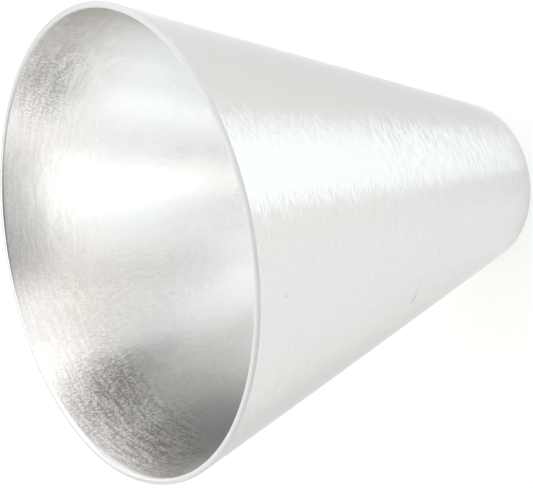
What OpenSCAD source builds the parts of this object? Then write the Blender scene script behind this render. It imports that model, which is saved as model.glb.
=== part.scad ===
// Spun aluminium cone, open at both ends.
// One sheet is spun over a tapered mandrel, so the wall is even and follows the taper inside
// and out. Both ends are then trimmed square to the axis. The wide edge is burnished round on
// the outside and lightly eased inside, and the narrow edge is only deburred.
// The cone stands on its narrow end, with its axis on Z and the wide mouth upward.

/* [Cone] */
// Outside diameter of the wide end as it is trimmed, before its edge is rounded, in millimetres
wide_od = 152.4; // [130:0.1:180]
// Outside diameter of the narrow end as it is trimmed
narrow_od = 63.5; // [50:0.1:80]
// Length along the axis, from rim to rim
cone_len = 165; // [120:1:240]
// Thickness of the sheet, measured square to it
wall = 2; // [1.8:0.1:3]

/* [Wide edge] */
// Radius that is burnished on the outside of the wide edge
wide_outer_radius = 0.8; // [0.3:0.1:1]
// Radius that is eased on the inside of the wide edge
wide_inner_radius = 0.35; // [0.1:0.05:0.5]

/* [Narrow edge] */
// Radius that deburring leaves on both sides of the narrow edge
narrow_radius = 0.3; // [0.1:0.05:0.6]

/* [Hidden] */

// Facets round the axis, for the preview only
$fn = 256;
// Straight steps that draw each rounded edge
edge_steps = 10;

// Angle between the wall and the axis
taper = atan((wide_od - narrow_od) / 2 / cone_len);
// Width of the sheet where it is cut square to the axis
edge_width = wall / cos(taper);

// Corners of the wall's section, as [radius, height]
narrow_outside = [narrow_od / 2, 0];
wide_outside = [wide_od / 2, cone_len];
wide_inside = [wide_od / 2 - edge_width, cone_len];
narrow_inside = [narrow_od / 2 - edge_width, 0];

// Unit vector from one point towards another
function towards(from, to) = (to - from) / norm(to - from);

// Points of an arc that rounds a corner of the section and runs smoothly into both sides
function rounded(before, corner, after, radius) =
    let (
        side_in = towards(corner, before),
        side_out = towards(corner, after),
        half_angle = acos(side_in * side_out) / 2,
        centre = corner + towards([0, 0], side_in + side_out) * radius / sin(half_angle),
        run = radius / tan(half_angle),
        first = corner + side_in * run - centre,
        last = corner + side_out * run - centre,
        sweep = 180 - 2 * half_angle
    )
    [for (step = [0 : edge_steps])
        let (angle = sweep * step / edge_steps)
        centre + (first * sin(sweep - angle) + last * sin(angle)) / sin(sweep)];

// Section of the wall, for turning about the axis
module wall_section() {
    polygon(concat(
        rounded(narrow_inside, narrow_outside, wide_outside, narrow_radius),
        rounded(narrow_outside, wide_outside, wide_inside, wide_outer_radius),
        rounded(wide_outside, wide_inside, narrow_inside, wide_inner_radius),
        rounded(wide_inside, narrow_inside, narrow_outside, narrow_radius)
    ));
}

// The whole cone, which is one piece of metal
module spun_cone() {
    color("silver")
        rotate_extrude()
            wall_section();
}

spun_cone();
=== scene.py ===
import math

import bpy
from mathutils import Matrix, Vector


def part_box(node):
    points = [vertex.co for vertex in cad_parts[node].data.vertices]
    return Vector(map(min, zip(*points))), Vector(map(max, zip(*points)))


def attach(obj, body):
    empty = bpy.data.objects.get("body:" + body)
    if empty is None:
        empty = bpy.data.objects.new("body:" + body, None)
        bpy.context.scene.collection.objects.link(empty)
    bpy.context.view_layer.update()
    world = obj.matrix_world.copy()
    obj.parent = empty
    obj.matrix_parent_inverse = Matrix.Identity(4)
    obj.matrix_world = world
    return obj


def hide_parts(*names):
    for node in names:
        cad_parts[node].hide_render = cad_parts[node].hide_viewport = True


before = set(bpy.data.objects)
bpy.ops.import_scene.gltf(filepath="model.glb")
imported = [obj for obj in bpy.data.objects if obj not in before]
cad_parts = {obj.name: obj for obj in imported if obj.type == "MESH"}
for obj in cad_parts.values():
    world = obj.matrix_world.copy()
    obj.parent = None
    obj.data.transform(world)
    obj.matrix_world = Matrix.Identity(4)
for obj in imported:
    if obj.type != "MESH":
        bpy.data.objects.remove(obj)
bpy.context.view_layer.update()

# The cone is one disc of 2 mm aluminium, pressed down over a tapered steel mandrel while both
# turn, which leaves an even wall with a trace of the tool's waves. The ends are trimmed square,
# and the wide edge is burnished round outside and eased by hand inside. Lengths are in metres.
low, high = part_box("spun_cone")
CONE_LEN = high.z - low.z
NARROW_RADIUS = 0.03175
WIDE_RADIUS = 0.0762
WALL = 0.002
WIDE_OUTER_RADIUS = 0.0008
NARROW_EDGE_RADIUS = 0.0003
TAPER = math.atan((WIDE_RADIUS - NARROW_RADIUS) / CONE_LEN)
EDGE_WIDTH = WALL / math.cos(TAPER)

EASE_ACROSS = 0.0004
EASE_DOWN = 0.0008
EASE_DOWN_MORE = 0.0017
EASE_MOST_AT = math.radians(170)
EASE_MOST_POWER = 8
EASE_PULL = 0.75

WAVE_HEIGHT = 0.000010
WAVE_PITCH = 0.0230
RIPPLE_HEIGHT = 0.000003
RIPPLE_PITCH = 0.0097
RIPPLE_LAG = 1.3
WAVE_FADE = 0.004

OVAL = 0.00012
OVAL_TURN = 2.6
THREE_SIDED = 0.00008
THREE_SIDED_TURN = -0.2
PRESSED_IN = 0.00065
PRESSED_AT = math.radians(183)
PRESSED_POWER = 12
SPRING_POWER = 4

ROUND_STEPS = 384
WALL_STEPS = 96
EDGE_STEPS = 8
EASE_STEPS = 14


def rounded(before, corner, after, radius):
    """Points of an arc that rounds a corner of the section, smooth with both its sides."""
    side_in = (before - corner).normalized()
    side_out = (after - corner).normalized()
    half_angle = side_in.angle(side_out) / 2
    centre = corner + (side_in + side_out).normalized() * radius / math.sin(half_angle)
    run = radius / math.tan(half_angle)
    first = corner + side_in * run - centre
    last = corner + side_out * run - centre
    sweep = math.pi - 2 * half_angle
    angles = [sweep * step / EDGE_STEPS for step in range(EDGE_STEPS + 1)]
    return [centre + (first * math.sin(sweep - a) + last * math.sin(a)) / math.sin(sweep) for a in angles]


def eased(first, corner, last):
    """Points of a nearly straight cut across a corner, which turns into both its sides."""
    near_first = first.lerp(corner, EASE_PULL)
    near_last = last.lerp(corner, 1 - EASE_PULL)
    run = []
    for step in range(EASE_STEPS + 1):
        s = step / EASE_STEPS
        ends = first * (1 - s) ** 3 + last * s**3
        run.append(ends + near_first * (3 * s * (1 - s) ** 2) + near_last * (3 * s**2 * (1 - s)))
    return run


def straight(first, last):
    """Points between two ends of a straight stretch, without the ends."""
    return [first.lerp(last, step / WALL_STEPS) for step in range(1, WALL_STEPS)]


def tool_wave(along, turn):
    """Height of the waves that the spinning tool leaves, square to the wall."""
    lead = turn / (2 * math.pi)
    wave = WAVE_HEIGHT * math.sin(2 * math.pi * (along / WAVE_PITCH - lead))
    ripple = RIPPLE_HEIGHT * math.sin(2 * math.pi * (along / RIPPLE_PITCH - 2 * lead) + RIPPLE_LAG)
    return wave + ripple


def spring(height, turn):
    """How far the wide end stands out of round, along the radius, with one place pressed in."""
    oval = OVAL * math.cos(2 * turn + OVAL_TURN)
    three_sided = THREE_SIDED * math.cos(3 * turn + THREE_SIDED_TURN)
    pressed = PRESSED_IN * max(0.0, math.cos(turn - PRESSED_AT)) ** PRESSED_POWER
    return (oval + three_sided - pressed) * (height / CONE_LEN) ** SPRING_POWER


narrow_outside = Vector((NARROW_RADIUS, 0))
wide_outside = Vector((WIDE_RADIUS, CONE_LEN))
wide_inside = Vector((WIDE_RADIUS - EDGE_WIDTH, CONE_LEN))
narrow_inside = Vector((NARROW_RADIUS - EDGE_WIDTH, 0))

narrow_outer_edge = rounded(narrow_inside, narrow_outside, wide_outside, NARROW_EDGE_RADIUS)
wide_outer_edge = rounded(narrow_outside, wide_outside, wide_inside, WIDE_OUTER_RADIUS)
narrow_inner_edge = rounded(wide_inside, narrow_inside, narrow_outside, NARROW_EDGE_RADIUS)
outer_wall = straight(narrow_outer_edge[-1], wide_outer_edge[0])
down_inside = (narrow_inside - wide_inside).normalized()

OUTSIDE, INSIDE, EDGE, EASED = range(4)


def section(turn):
    """The wall's section at a turn about the axis, as points, each with the finish after it."""
    most = max(0.0, math.cos(turn - EASE_MOST_AT)) ** EASE_MOST_POWER
    ease_top = wide_inside + Vector((EASE_ACROSS, 0))
    ease_foot = wide_inside + down_inside * (EASE_DOWN + EASE_DOWN_MORE * most)
    wide_inner_edge = eased(ease_top, wide_inside, ease_foot)
    inner_wall = straight(wide_inner_edge[-1], narrow_inner_edge[0])
    return (
        [(point, EDGE) for point in narrow_outer_edge[:-1]]
        + [(narrow_outer_edge[-1], OUTSIDE)]
        + [(point, OUTSIDE) for point in outer_wall]
        + [(point, EDGE) for point in wide_outer_edge]
        + [(point, EASED) for point in wide_inner_edge[:-1]]
        + [(wide_inner_edge[-1], INSIDE)]
        + [(point, INSIDE) for point in inner_wall]
        + [(point, EDGE) for point in narrow_inner_edge]
    )


wall_normal = Vector((math.cos(TAPER), -math.sin(TAPER)))
points = []
for step in range(ROUND_STEPS):
    turn = 2 * math.pi * step / ROUND_STEPS
    for point, finish in section(turn):
        fade = max(0.0, min(1.0, point.y / WAVE_FADE, (CONE_LEN - point.y) / WAVE_FADE))
        moved = point + wall_normal * tool_wave(point.y / math.cos(TAPER), turn) * fade
        radius = moved.x + spring(point.y, turn)
        points.append((radius * math.cos(turn), radius * math.sin(turn), moved.y))

faces = []
finishes = []
rows = [finish for point, finish in section(0.0)]
for step in range(ROUND_STEPS):
    here = step * len(rows)
    there = (step + 1) % ROUND_STEPS * len(rows)
    for row, finish in enumerate(rows):
        above = (row + 1) % len(rows)
        faces.append((here + row, there + row, there + above, here + above))
        finishes.append(finish)

mesh = bpy.data.meshes.new("spun_sheet")
mesh.from_pydata(points, [], faces)
mesh.polygons.foreach_set("use_smooth", [True] * len(faces))
mesh.polygons.foreach_set("material_index", finishes)
mesh.update()
cone = bpy.data.objects.new("spun_sheet", mesh)
bpy.context.scene.collection.objects.link(cone)

# Outside, the wall is brushed round the axis by hand with an abrasive pad, while the cone turns.
# The hairlines wander a little, so a light's image is drawn out along the cone into one band with
# ragged edges. The pad bore harder near the narrow end. One short scratch and three specks are wear.
HAIR_LENGTH = 0.0028
HAIR_WIDTH = 0.00042
HAIR_WANDER = 0.0045
WANDER_IN_WIDTHS = 3.6
HAIR_DEPTH = 0.000018
HAIR_LEAN = 0.33
FINE_SHARE = 0.6
PALE_FROM_TO = (0.25, 0.75)
HEAVY_SCALE = 0.55
HEAVY_LEAN = 0.16
HEAVY_FROM_TO = (0.38, 0.62)
WEAR_DEPTH_IN_HAIRS = 0.5
ALONG_THE_CONE = 0.25
OUTSIDE_DARK = (0.821, 0.820, 0.811)
OUTSIDE_PALE = (0.834, 0.835, 0.828)
OUTSIDE_ROUGH = 0.265
OUTSIDE_SMOOTH = 0.24
HEAVY_DARK = (0.785, 0.79, 0.785)
HEAVY_PALE = (0.88, 0.89, 0.885)
OUTSIDE_WORN = (0.40, 0.39, 0.35)
EDGE_ON = (0.90, 0.91, 0.92)

# Shifts that keep the patterns of hairs apart.
FINE_SHIFT = (3.0, 7.0, 5.0)
CROSSING_SHIFT = (11.0, 2.0, 8.0)
HEAVY_SHIFT = (5.0, 1.0, 9.0)

# A mark has a turn in degrees and a height at either end, then its half width and its strength.
SCRATCH = ((229.2, 0.0777), (226.6, 0.0786), 0.0008, 0.7)
SCRATCH_TAIL = ((236.0, 0.0770), (229.0, 0.0778), 0.0007, 0.2)
SPECKS = (
    ((217.9, 0.0430), (217.0, 0.0431), 0.0007, 0.5),
    ((244.2, 0.0678), (243.2, 0.0680), 0.0006, 0.3),
    ((252.0, 0.1529), (251.6, 0.1530), 0.0006, 0.5),
)
BRUSHED_HARDER = ((282, 0.0), (282, 0.085), 0.027, 1.0)


class Wire:
    """A socket of a shader, on which sums and products add Math or Vector Math nodes."""

    def __init__(self, tree, socket):
        self.tree = tree
        self.socket = socket

    def node(self, kind, settings, sockets, output=0):
        """Adds one node, sets it up and fills its sockets with values or links."""
        made = self.tree.nodes.new(kind)
        for name, value in settings.items():
            setattr(made, name, value)
        for name, value in sockets.items():
            if isinstance(value, Wire):
                self.tree.links.new(value.socket, made.inputs[name])
            else:
                made.inputs[name].default_value = value
        return Wire(self.tree, made.outputs[output]) if made.outputs else None

    def maths(self, operation, first, second):
        """A Math node, or a Vector Math node where either value is a vector."""
        values = [first, second]
        vector = any(
            value.socket.type == "VECTOR" if isinstance(value, Wire) else isinstance(value, tuple)
            for value in values
        )
        if not vector:
            return self.node("ShaderNodeMath", {"operation": operation}, {0: first, 1: second})
        for index, value in enumerate(values):
            if isinstance(value, (int, float)):
                values[index] = (value, value, value)
        return self.node("ShaderNodeVectorMath", {"operation": operation}, dict(enumerate(values)))

    def __add__(self, other):
        return self.maths("ADD", self, other)

    def __radd__(self, other):
        return self.maths("ADD", other, self)

    def __sub__(self, other):
        return self.maths("SUBTRACT", self, other)

    def __rsub__(self, other):
        return self.maths("SUBTRACT", other, self)

    def __mul__(self, other):
        return self.maths("MULTIPLY", self, other)

    def __rmul__(self, other):
        return self.maths("MULTIPLY", other, self)

    def vector(self, operation, other=(0.0, 0.0, 0.0), output=0):
        """A Vector Math node of another kind on this wire."""
        return self.node("ShaderNodeVectorMath", {"operation": operation}, {0: self, 1: other}, output)

    def noise(self, detail):
        """Soft noise with one feature a unit, read at this vector."""
        return self.node("ShaderNodeTexNoise", {}, {"Vector": self, "Scale": 1.0, "Detail": detail})

    def part(self, axis):
        """One coordinate of this vector."""
        return self.node("ShaderNodeSeparateXYZ", {}, {0: self}, axis)

    def ramp(self, low, high, first=0.0, last=1.0):
        """Runs smoothly from the first value at low to the last value at high."""
        settings = {"interpolation_type": "SMOOTHSTEP"}
        return self.node("ShaderNodeMapRange", settings, {0: self, 1: low, 2: high, 3: first, 4: last})

    def blend(self, first, last):
        """A colour that runs from the first to the last as this wire runs from 0 to 1."""
        ends = [end if isinstance(end, Wire) else (*end, 1) for end in (first, last)]
        settings = {"data_type": "RGBA"}
        return self.node("ShaderNodeMix", settings, {0: self, 6: ends[0], 7: ends[1]}, 2)


def metal(name, finish):
    """A metal, dressed by a function that fills the shader's sockets from the place on the cone."""
    material = bpy.data.materials.new(name)
    material.use_nodes = True
    tree = material.node_tree
    tree.nodes.clear()
    place = Wire(tree, tree.nodes.new("ShaderNodeTexCoord").outputs["Object"])
    sockets = {"Metallic": 1.0}
    sockets.update(finish(place))
    surface = place.node("ShaderNodeBsdfPrincipled", {}, sockets)
    place.node("ShaderNodeOutputMaterial", {}, {"Surface": surface})
    return material


def relief(place, depth, height, normal=None):
    """The surface's normal, bent by a height between 0 and 1 that stands for a depth."""
    sockets = {"Strength": 1.0, "Distance": depth, "Height": height}
    if normal:
        sockets["Normal"] = normal
    return place.node("ShaderNodeBump", {}, sockets)


def on_outside(turn, height):
    """A point on the outside, given its turn about the axis in degrees and its height."""
    radius = NARROW_RADIUS + (WIDE_RADIUS - NARROW_RADIUS) * height / CONE_LEN
    angle = math.radians(turn)
    return (radius * math.cos(angle), radius * math.sin(angle), height)


def mark(place, start, end, half_width, strength):
    """A mark on the wall, at its strength on a line between two places and gone beside it."""
    first = on_outside(*start)
    last = on_outside(*end)
    span = tuple(b - a for a, b in zip(first, last))
    ahead = place - first
    share = ahead.vector("DOT_PRODUCT", span, 1) * (1 / math.dist(first, last) ** 2)
    share = place.node("ShaderNodeClamp", {}, {0: share})
    beside = ahead - share * span
    return beside.vector("LENGTH", output=1).ramp(0.0, half_width, strength, 0.0)


def hairs(place, shift):
    """Hairlines round the axis, which wander to either side by up to some twenty degrees."""
    wander = (place * (1 / HAIR_WANDER) + shift).noise(1.0) - 0.5
    stretched = place * (1 / HAIR_LENGTH, 1 / HAIR_LENGTH, 1 / HAIR_WIDTH)
    return (stretched + wander * (0.0, 0.0, WANDER_IN_WIDTHS) + shift).noise(2.0)


def leaned(place, lean):
    """The surface's normal, turned about the axis by a lean that runs to either side of zero."""
    around = (place * (1.0, 1.0, 0.0)).vector("CROSS_PRODUCT", (0.0, 0.0, -1.0)).vector("NORMALIZE")
    turns = {"vector_type": "VECTOR", "convert_from": "OBJECT", "convert_to": "WORLD"}
    around = place.node("ShaderNodeVectorTransform", turns, {0: around})
    square = place.node("ShaderNodeNewGeometry", {}, {}, "Normal")
    return (square + lean * around).vector("NORMALIZE")


def brushed(place):
    """Light and heavy strokes of the pad, with the wear over them."""
    fine = hairs(place, FINE_SHIFT)
    crossing = hairs(place, CROSSING_SHIFT)
    heavy = hairs(place * HEAVY_SCALE, HEAVY_SHIFT).ramp(*HEAVY_FROM_TO)
    harder = mark(place, *BRUSHED_HARDER)
    worn = mark(place, *SCRATCH) + mark(place, *SCRATCH_TAIL)
    for speck in SPECKS:
        worn = worn + mark(place, *speck)
    pale = (fine * FINE_SHARE + crossing * (1 - FINE_SHARE)).ramp(*PALE_FROM_TO)
    lean = (fine - crossing) * HAIR_LEAN + (heavy - 0.5) * (harder * HEAVY_LEAN)
    light_strokes = pale.blend(OUTSIDE_DARK, OUTSIDE_PALE)
    heavy_strokes = heavy.blend(HEAVY_PALE, HEAVY_DARK)
    return {
        "Base Color": worn.blend(harder.blend(light_strokes, heavy_strokes), OUTSIDE_WORN),
        "Roughness": pale.ramp(0.0, 1.0, OUTSIDE_ROUGH, OUTSIDE_SMOOTH),
        "Specular Tint": (*EDGE_ON, 1),
        "Anisotropic": 1.0,
        "Anisotropic Rotation": ALONG_THE_CONE,
        "Normal": relief(place, HAIR_DEPTH, fine - worn * WEAR_DEPTH_IN_HAIRS, leaned(place, lean)),
    }


# Inside, the metal keeps the face that the mandrel and the tool gave it. Near the mouth it is
# grained with fine dents in rows, most of all in two patches of tool chatter, where the grain is
# also painted much darker as a painted reflection of the dark surroundings. Deeper down only faint
# draw marks stay.
DENT_SIZE = 0.00055
DENT_DEPTH = 0.00011
DENT_SHARE = 0.45
ROW_PITCH = 0.0010
ROW_LENGTH = 0.008
ROW_SHARE = 0.3
DRAW_PITCH = 0.0006
DRAW_LENGTH = 0.0025
DRAW_RELIEF = 0.04
DRAW_FROM_TO = (0.3, 0.7)
GRAIN_FROM_TO = (0.42, 0.58)
DULL_FROM_TO = (0.2, 0.8)
MOUTH_REACH = 0.05
MOUTH_WHOLE = 0.012
QUIET_GRAIN = 0.18
# Two patches of tool chatter near the mouth, where the inside is also painted darker, a painted
# reflection.
CHATTER_AND_SHADE_LOW = ((140, 0.144), (170, 0.150), 0.032, 1.0)
CHATTER_AND_SHADE_HIGH = ((24, 0.153), (38, 0.155), 0.016, 0.55)
DULL_REACH = 0.020
DULL_WHOLE = 0.006
DULL_BY = 0.045
INSIDE_SMOOTH = 0.17
INSIDE_ROUGH = 0.23
INSIDE_DRAWN_OUT = 0.8
DEEP_DARK = (0.88, 0.885, 0.886)
DEEP_PALE = (0.925, 0.93, 0.931)
MOUTH_DARK = (0.90, 0.886, 0.870)
MOUTH_PALE = (0.99, 0.974, 0.956)
# Painted shade: the grain's dark parts in the chatter patches, standing in for a dark reflection.
CHATTER_DARK_AND_SHADE = (0.53, 0.52, 0.51)


def tool_marked(place):
    """Grain near the mouth, painted darkest in two patches of tool chatter as a painted reflection, and
    draw marks further down.
    """
    height = place.part(2)
    near_mouth = height.ramp(CONE_LEN - MOUTH_REACH, CONE_LEN - MOUTH_WHOLE)
    chatter_and_shade = mark(place, *CHATTER_AND_SHADE_LOW) + mark(place, *CHATTER_AND_SHADE_HIGH)
    dents = (place * (1 / DENT_SIZE)).noise(0.0)
    rows = (place * (1 / ROW_LENGTH, 1 / ROW_LENGTH, 1 / ROW_PITCH)).noise(0.0)
    draws = (place * (1 / DRAW_PITCH, 1 / DRAW_PITCH, 1 / DRAW_LENGTH)).noise(1.0)
    weave = dents * DENT_SHARE + rows * ROW_SHARE + draws * (1 - DENT_SHARE - ROW_SHARE)
    grain = weave.ramp(*GRAIN_FROM_TO)
    rough = near_mouth * (chatter_and_shade * (1 - QUIET_GRAIN) + QUIET_GRAIN)
    # The grain's dark parts, painted much darker in the chatter patches as a painted reflection.
    grain_dark_and_shade = chatter_and_shade.blend(MOUTH_DARK, CHATTER_DARK_AND_SHADE)
    deep = draws.ramp(*DRAW_FROM_TO).blend(DEEP_DARK, DEEP_PALE)
    dull = height.ramp(CONE_LEN - DULL_REACH, CONE_LEN - DULL_WHOLE, 0.0, DULL_BY)
    return {
        "Base Color": near_mouth.blend(deep, grain.blend(grain_dark_and_shade, MOUTH_PALE)),
        "Roughness": draws.ramp(*DULL_FROM_TO, INSIDE_SMOOTH, INSIDE_ROUGH) + dull,
        "Anisotropic": INSIDE_DRAWN_OUT,
        "Anisotropic Rotation": ALONG_THE_CONE,
        "Normal": relief(place, DENT_DEPTH, rough * weave + draws * DRAW_RELIEF),
    }


# The edges are trimmed with a tool on the turning cone, which leaves them satin, with fine rings. On
# the side towards the camera they are rougher and painted paler, a painted highlight. The easing of
# the mouth is burnished for most of the way round, and shines like a thin line.
RING_PITCH = 0.0002
RING_LENGTH = 0.05
RING_DEPTH = 0.000004
RING_FROM_TO = (0.2, 0.8)
RING_ROUGHER = 0.05
PAINTED_LIT_FROM = 0.01
PAINTED_LIT_WHOLE = -0.055
TRIMMED_ROUGH = 0.5
LIT_SIDE_ROUGH = 0.9
TRIMMED_DARK = (0.58, 0.588, 0.592)
TRIMMED_PALE = (0.68, 0.688, 0.692)
# Painted highlight: the edge's paler colours on the side towards the camera.
PAINTED_LIT_DARK = (0.76, 0.763, 0.765)
PAINTED_LIT_PALE = (0.84, 0.843, 0.845)
SATIN_FROM = 0.02
SATIN_WHOLE = 0.06
BURNISHED_ROUGH = 0.3
SATIN_ROUGH = 0.6
BURNISHED_DARK = (0.78, 0.795, 0.81)
BURNISHED_PALE = (0.86, 0.875, 0.89)
SATIN_DARK = (0.70, 0.715, 0.73)
SATIN_PALE = (0.78, 0.795, 0.81)


def ringed(place, dark, pale, roughness):
    """Rings round the axis between two colours, about a roughness."""
    radius = (place * (1.0, 1.0, 0.0)).vector("LENGTH", output=1)
    stretched = place * (1 / RING_LENGTH, 1 / RING_LENGTH, 1 / RING_PITCH)
    rings = (stretched + radius * (0.0, 0.0, 1 / RING_PITCH)).noise(1.0)
    return {
        "Base Color": rings.blend(dark, pale),
        "Roughness": rings.ramp(*RING_FROM_TO, roughness - RING_ROUGHER, roughness + RING_ROUGHER),
        "Normal": relief(place, RING_DEPTH, rings),
    }


def trimmed(place):
    """A tooled edge, rougher on one side and painted paler there as a painted highlight."""
    # The side towards the camera, where the edge is painted paler as a painted highlight.
    painted_lit_side = place.part(1).ramp(PAINTED_LIT_FROM, PAINTED_LIT_WHOLE)
    dark = painted_lit_side.blend(TRIMMED_DARK, PAINTED_LIT_DARK)
    pale = painted_lit_side.blend(TRIMMED_PALE, PAINTED_LIT_PALE)
    return ringed(place, dark, pale, painted_lit_side * (LIT_SIDE_ROUGH - TRIMMED_ROUGH) + TRIMMED_ROUGH)


def burnished(place):
    """A polished easing, which is only satin on one side."""
    satin = place.part(0).ramp(SATIN_FROM, SATIN_WHOLE)
    dark = satin.blend(BURNISHED_DARK, SATIN_DARK)
    pale = satin.blend(BURNISHED_PALE, SATIN_PALE)
    return ringed(place, dark, pale, satin * (SATIN_ROUGH - BURNISHED_ROUGH) + BURNISHED_ROUGH)


cone.data.materials.append(metal("brushed_outside", brushed))
cone.data.materials.append(metal("spun_inside", tool_marked))
cone.data.materials.append(metal("turned_edge", trimmed))
cone.data.materials.append(metal("burnished_edge", burnished))

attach(cone, "root")
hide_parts("spun_cone")

# The floor is white board, which camera and metal alike see as white, and which keeps a soft
# shadow under the cone.
ROOM = 3.0
FLOOR_PAINT = (0.33, 0.33, 0.33)
FLOOR_WHITE = (0.70, 0.697, 0.682)

floor_mesh = bpy.data.meshes.new("floor")
floor_mesh.from_pydata(
    [(-ROOM, -ROOM, 0), (ROOM, -ROOM, 0), (ROOM, ROOM, 0), (-ROOM, ROOM, 0)], [], [(0, 1, 2, 3)]
)
floor = bpy.data.objects.new("floor", floor_mesh)
bpy.context.scene.collection.objects.link(floor)
floor_board = bpy.data.materials.new("floor_board")
floor_board.use_nodes = True
floor_board.cycles.emission_sampling = "NONE"
tree = floor_board.node_tree
tree.nodes.clear()
ray = tree.nodes.new("ShaderNodeLightPath")
seen = Wire(tree, ray.outputs["Is Camera Ray"])
for kind in ("Is Glossy Ray", "Is Transmission Ray"):
    seen = seen.maths("MAXIMUM", seen, Wire(tree, ray.outputs[kind]))
paint = seen.node("ShaderNodeBsdfDiffuse", {}, {"Color": (*FLOOR_PAINT, 1)})
white = seen.node("ShaderNodeEmission", {}, {"Color": (*FLOOR_WHITE, 1), "Strength": seen})
both = seen.node("ShaderNodeAddShader", {}, {0: paint, 1: white})
seen.node("ShaderNodeOutputMaterial", {}, {"Surface": both})
floor_mesh.materials.append(floor_board)

# The studio is evenly white. Large soft boxes hang overhead, at the sides and behind the cone,
# and black cloths hang at its left and beside the camera, so the metal has something dark to
# show as well. None of them is seen by the camera itself.
world = bpy.data.worlds.new("studio")
bpy.context.scene.world = world
world.use_nodes = True
world.node_tree.nodes["Background"].inputs["Color"].default_value = (1, 1, 1, 1)
world.node_tree.nodes["Background"].inputs["Strength"].default_value = 1.0

CLOTH_COLUMNS = 48
CLOTH_ROWS = 24
ZENITH = 90.0
ALL_ROUND = 180.0
BLACK = (0.075, 0.075, 0.075)


def step_up(value, low, high):
    """Runs smoothly from 0 at low to 1 at high."""
    share = min(1.0, max(0.0, (value - low) / (high - low)))
    return share * share * (3 - 2 * share)


def soft_sheet(name, place, cover, glow):
    """A glowing or black sheet that covers what is behind it less and less towards its sides."""
    grid = [
        (column / CLOTH_COLUMNS, row / CLOTH_ROWS)
        for column in range(CLOTH_COLUMNS + 1)
        for row in range(CLOTH_ROWS + 1)
    ]
    quads = []
    for column in range(CLOTH_COLUMNS):
        for row in range(CLOTH_ROWS):
            first = column * (CLOTH_ROWS + 1) + row
            second = first + CLOTH_ROWS + 1
            quads.append((first, second, second + 1, first + 1))
    cloth_mesh = bpy.data.meshes.new(name)
    cloth_mesh.from_pydata([place(*point) for point in grid], [], quads)
    covers = cloth_mesh.attributes.new("cover", "FLOAT", "POINT")
    covers.data.foreach_set("value", [cover(*point) for point in grid])
    cloth = bpy.data.materials.new(name)
    cloth.use_nodes = True
    cloth.cycles.emission_sampling = "NONE"
    tree = cloth.node_tree
    tree.nodes.clear()
    reader = tree.nodes.new("ShaderNodeAttribute")
    reader.attribute_name = "cover"
    share = Wire(tree, reader.outputs["Fac"])
    clear = share.node("ShaderNodeBsdfTransparent", {}, {})
    shine = share.node("ShaderNodeEmission", {}, {"Color": (*glow, 1), "Strength": 1.0})
    mixed = share.node("ShaderNodeMixShader", {}, {0: share, 1: clear, 2: shine})
    share.node("ShaderNodeOutputMaterial", {}, {"Surface": mixed})
    cloth_mesh.materials.append(cloth)
    made = bpy.data.objects.new(name, cloth_mesh)
    made.visible_camera = False
    bpy.context.scene.collection.objects.link(made)
    return made


def hang(name, distance, azimuth, half_width, side_fade, low, high, end_fade, glow):
    """Hangs a curved sheet round the cone, with its place and size given in degrees."""
    reach = min(ALL_ROUND, half_width + side_fade)
    bottom = low - end_fade
    top = min(ZENITH, high + end_fade)

    def place(across, up):
        turn = math.radians(azimuth + reach * (2 * across - 1))
        rise = math.radians(bottom + (top - bottom) * up)
        level_part = distance * math.cos(rise)
        return (level_part * math.cos(turn), level_part * math.sin(turn), distance * math.sin(rise))

    def cover(across, up):
        off = abs(reach * (2 * across - 1))
        rise = bottom + (top - bottom) * up
        side = 1 - step_up(off, half_width - side_fade, half_width + side_fade)
        ends = step_up(rise, low - end_fade, low + end_fade)
        if high < ZENITH:
            ends *= 1 - step_up(rise, high - end_fade, high + end_fade)
        return ends * (side if half_width < ALL_ROUND else 1.0)

    return soft_sheet(name, place, cover, glow)


hang(
    "overhead_box", distance=2.95, azimuth=0, half_width=ALL_ROUND, side_fade=1,
    low=51, high=ZENITH, end_fade=4, glow=(1.50, 1.52, 1.51),
)
hang(
    "side_box", distance=2.90, azimuth=15, half_width=41, side_fade=40,
    low=28, high=46, end_fade=3, glow=(1.98, 2.07, 2.07),
)
hang(
    "high_box", distance=2.85, azimuth=149, half_width=42, side_fade=28,
    low=47.5, high=63.5, end_fade=3, glow=(2.33, 2.23, 2.13),
)
hang(
    "low_box", distance=2.80, azimuth=130, half_width=38.5, side_fade=39,
    low=2, high=40, end_fade=4, glow=(1.86, 1.78, 1.69),
)
hang(
    "front_box", distance=2.75, azimuth=344, half_width=31, side_fade=12.5,
    low=11, high=19.5, end_fade=1, glow=(2.40, 2.31, 2.21),
)
hang(
    "black_cloth", distance=2.70, azimuth=165, half_width=68, side_fade=25,
    low=31, high=49, end_fade=6, glow=BLACK,
)
hang(
    "low_black_cloth", distance=2.65, azimuth=242, half_width=36.5, side_fade=14,
    low=7, high=47, end_fade=11.5, glow=BLACK,
)

# Light goes to and fro inside the cone many times before it leaves.
bpy.context.scene.cycles.glossy_bounces = 12

# Sheets lie on the floor round the cone's foot, seen by the metal alone: grey ones are painted shade
# where the floor's light falls off or the cone shades it, a white one is painted light that hides the
# cone's shadow in the metal, and one more is a soft box. They are thin sheets, one above another, and
# fade out at their sides and towards the foot.
FOOT = 0.035
FLOOR_REACH = 2.5
FULL_FROM = 0.12
LOWEST_RISE = 0.0003
RISE_STEP = 0.0001


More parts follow.
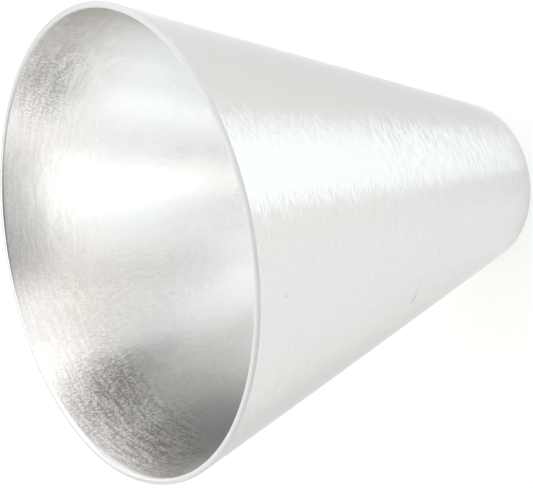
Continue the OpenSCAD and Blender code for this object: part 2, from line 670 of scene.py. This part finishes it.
def lay(name, layer, near, far, fade, near_cover, glow):
    """Lays a sheet on the floor, which only the metal sees, between two turns at the cone's
    foot and two turns far off, in degrees. It covers less at its sides and at the foot."""
    rise = LOWEST_RISE + RISE_STEP * layer

    def place(across, out):
        first = math.radians(near[0] + (near[1] - near[0]) * across)
        last = math.radians(far[0] + (far[1] - far[0]) * across)
        inner = Vector((math.cos(first), math.sin(first), 0)) * FOOT
        outer = Vector((math.cos(last), math.sin(last), 0)) * FLOOR_REACH
        return inner.lerp(outer, out**3) + Vector((0, 0, rise))

    def cover(across, out):
        sides = step_up(across, 0.0, fade) * (1 - step_up(across, 1 - fade, 1.0))
        away = step_up(place(across, out).length, FOOT, FULL_FROM)
        return sides * (near_cover + (1 - near_cover) * away)

    made = soft_sheet(name, place, cover, glow)
    made.visible_shadow = False
    made.visible_diffuse = False


# Painted shade: a grey sheet for the floor's light falling off on this side.
lay(
    "painted_shade_front", layer=0, near=(301, 399), far=(301, 399),
    fade=0.30, near_cover=1.0, glow=(0.92, 0.917, 0.90),
)
# Painted shade: a grey sheet for the floor's light falling off behind the cone.
lay(
    "painted_shade_behind", layer=1, near=(86, 198), far=(86, 198),
    fade=0.43, near_cover=1.0, glow=(0.82, 0.818, 0.80),
)
# Painted light: a white sheet over the cone's shadow, so that the metal does not show the shadow.
lay(
    "painted_light_over_shadow", layer=2, near=(190, 266), far=(190, 266),
    fade=0.30, near_cover=1.0, glow=(1.06, 1.065, 1.06),
)
# Painted shadow: a dark sheet for the floor behind the cone, where the cone shades it.
lay(
    "painted_deep_shade_behind", layer=3, near=(66, 138), far=(66, 138),
    fade=0.40, near_cover=1.0, glow=(0.62, 0.62, 0.61),
)
lay(
    "floor_box", layer=4, near=(269, 301), far=(272, 322),
    fade=0.12, near_cover=0.50, glow=(1.28, 1.33, 1.33),
)

# The camera looks into the mouth from above, and is turned on its side, as the photograph is.
PICTURE_WIDTH = 533
FOCAL_PIXELS = 1151.7
SENSOR = 36.0
LOOK_DOWN = math.radians(36.919)
ROLL = math.radians(101.236)
CAMERA_PLACE = Vector((-0.008027, -0.316869, 0.341992))

forward = Vector((0, math.cos(LOOK_DOWN), -math.sin(LOOK_DOWN)))
level = Vector((1, 0, 0))
plumb = Vector((0, -math.sin(LOOK_DOWN), -math.cos(LOOK_DOWN)))
right = level * math.cos(ROLL) + plumb * math.sin(ROLL)
down = plumb * math.cos(ROLL) - level * math.sin(ROLL)

camera_data = bpy.data.cameras.new("camera")
camera_data.sensor_fit = "HORIZONTAL"
camera_data.sensor_width = SENSOR
camera_data.lens = SENSOR * FOCAL_PIXELS / PICTURE_WIDTH
camera = bpy.data.objects.new("camera", camera_data)
camera_turn = Matrix((right, -down, -forward)).transposed().to_4x4()
camera.matrix_world = Matrix.Translation(CAMERA_PLACE) @ camera_turn
bpy.context.scene.collection.objects.link(camera)
bpy.context.scene.camera = camera
bpy.context.scene.view_settings.view_transform = "Standard"
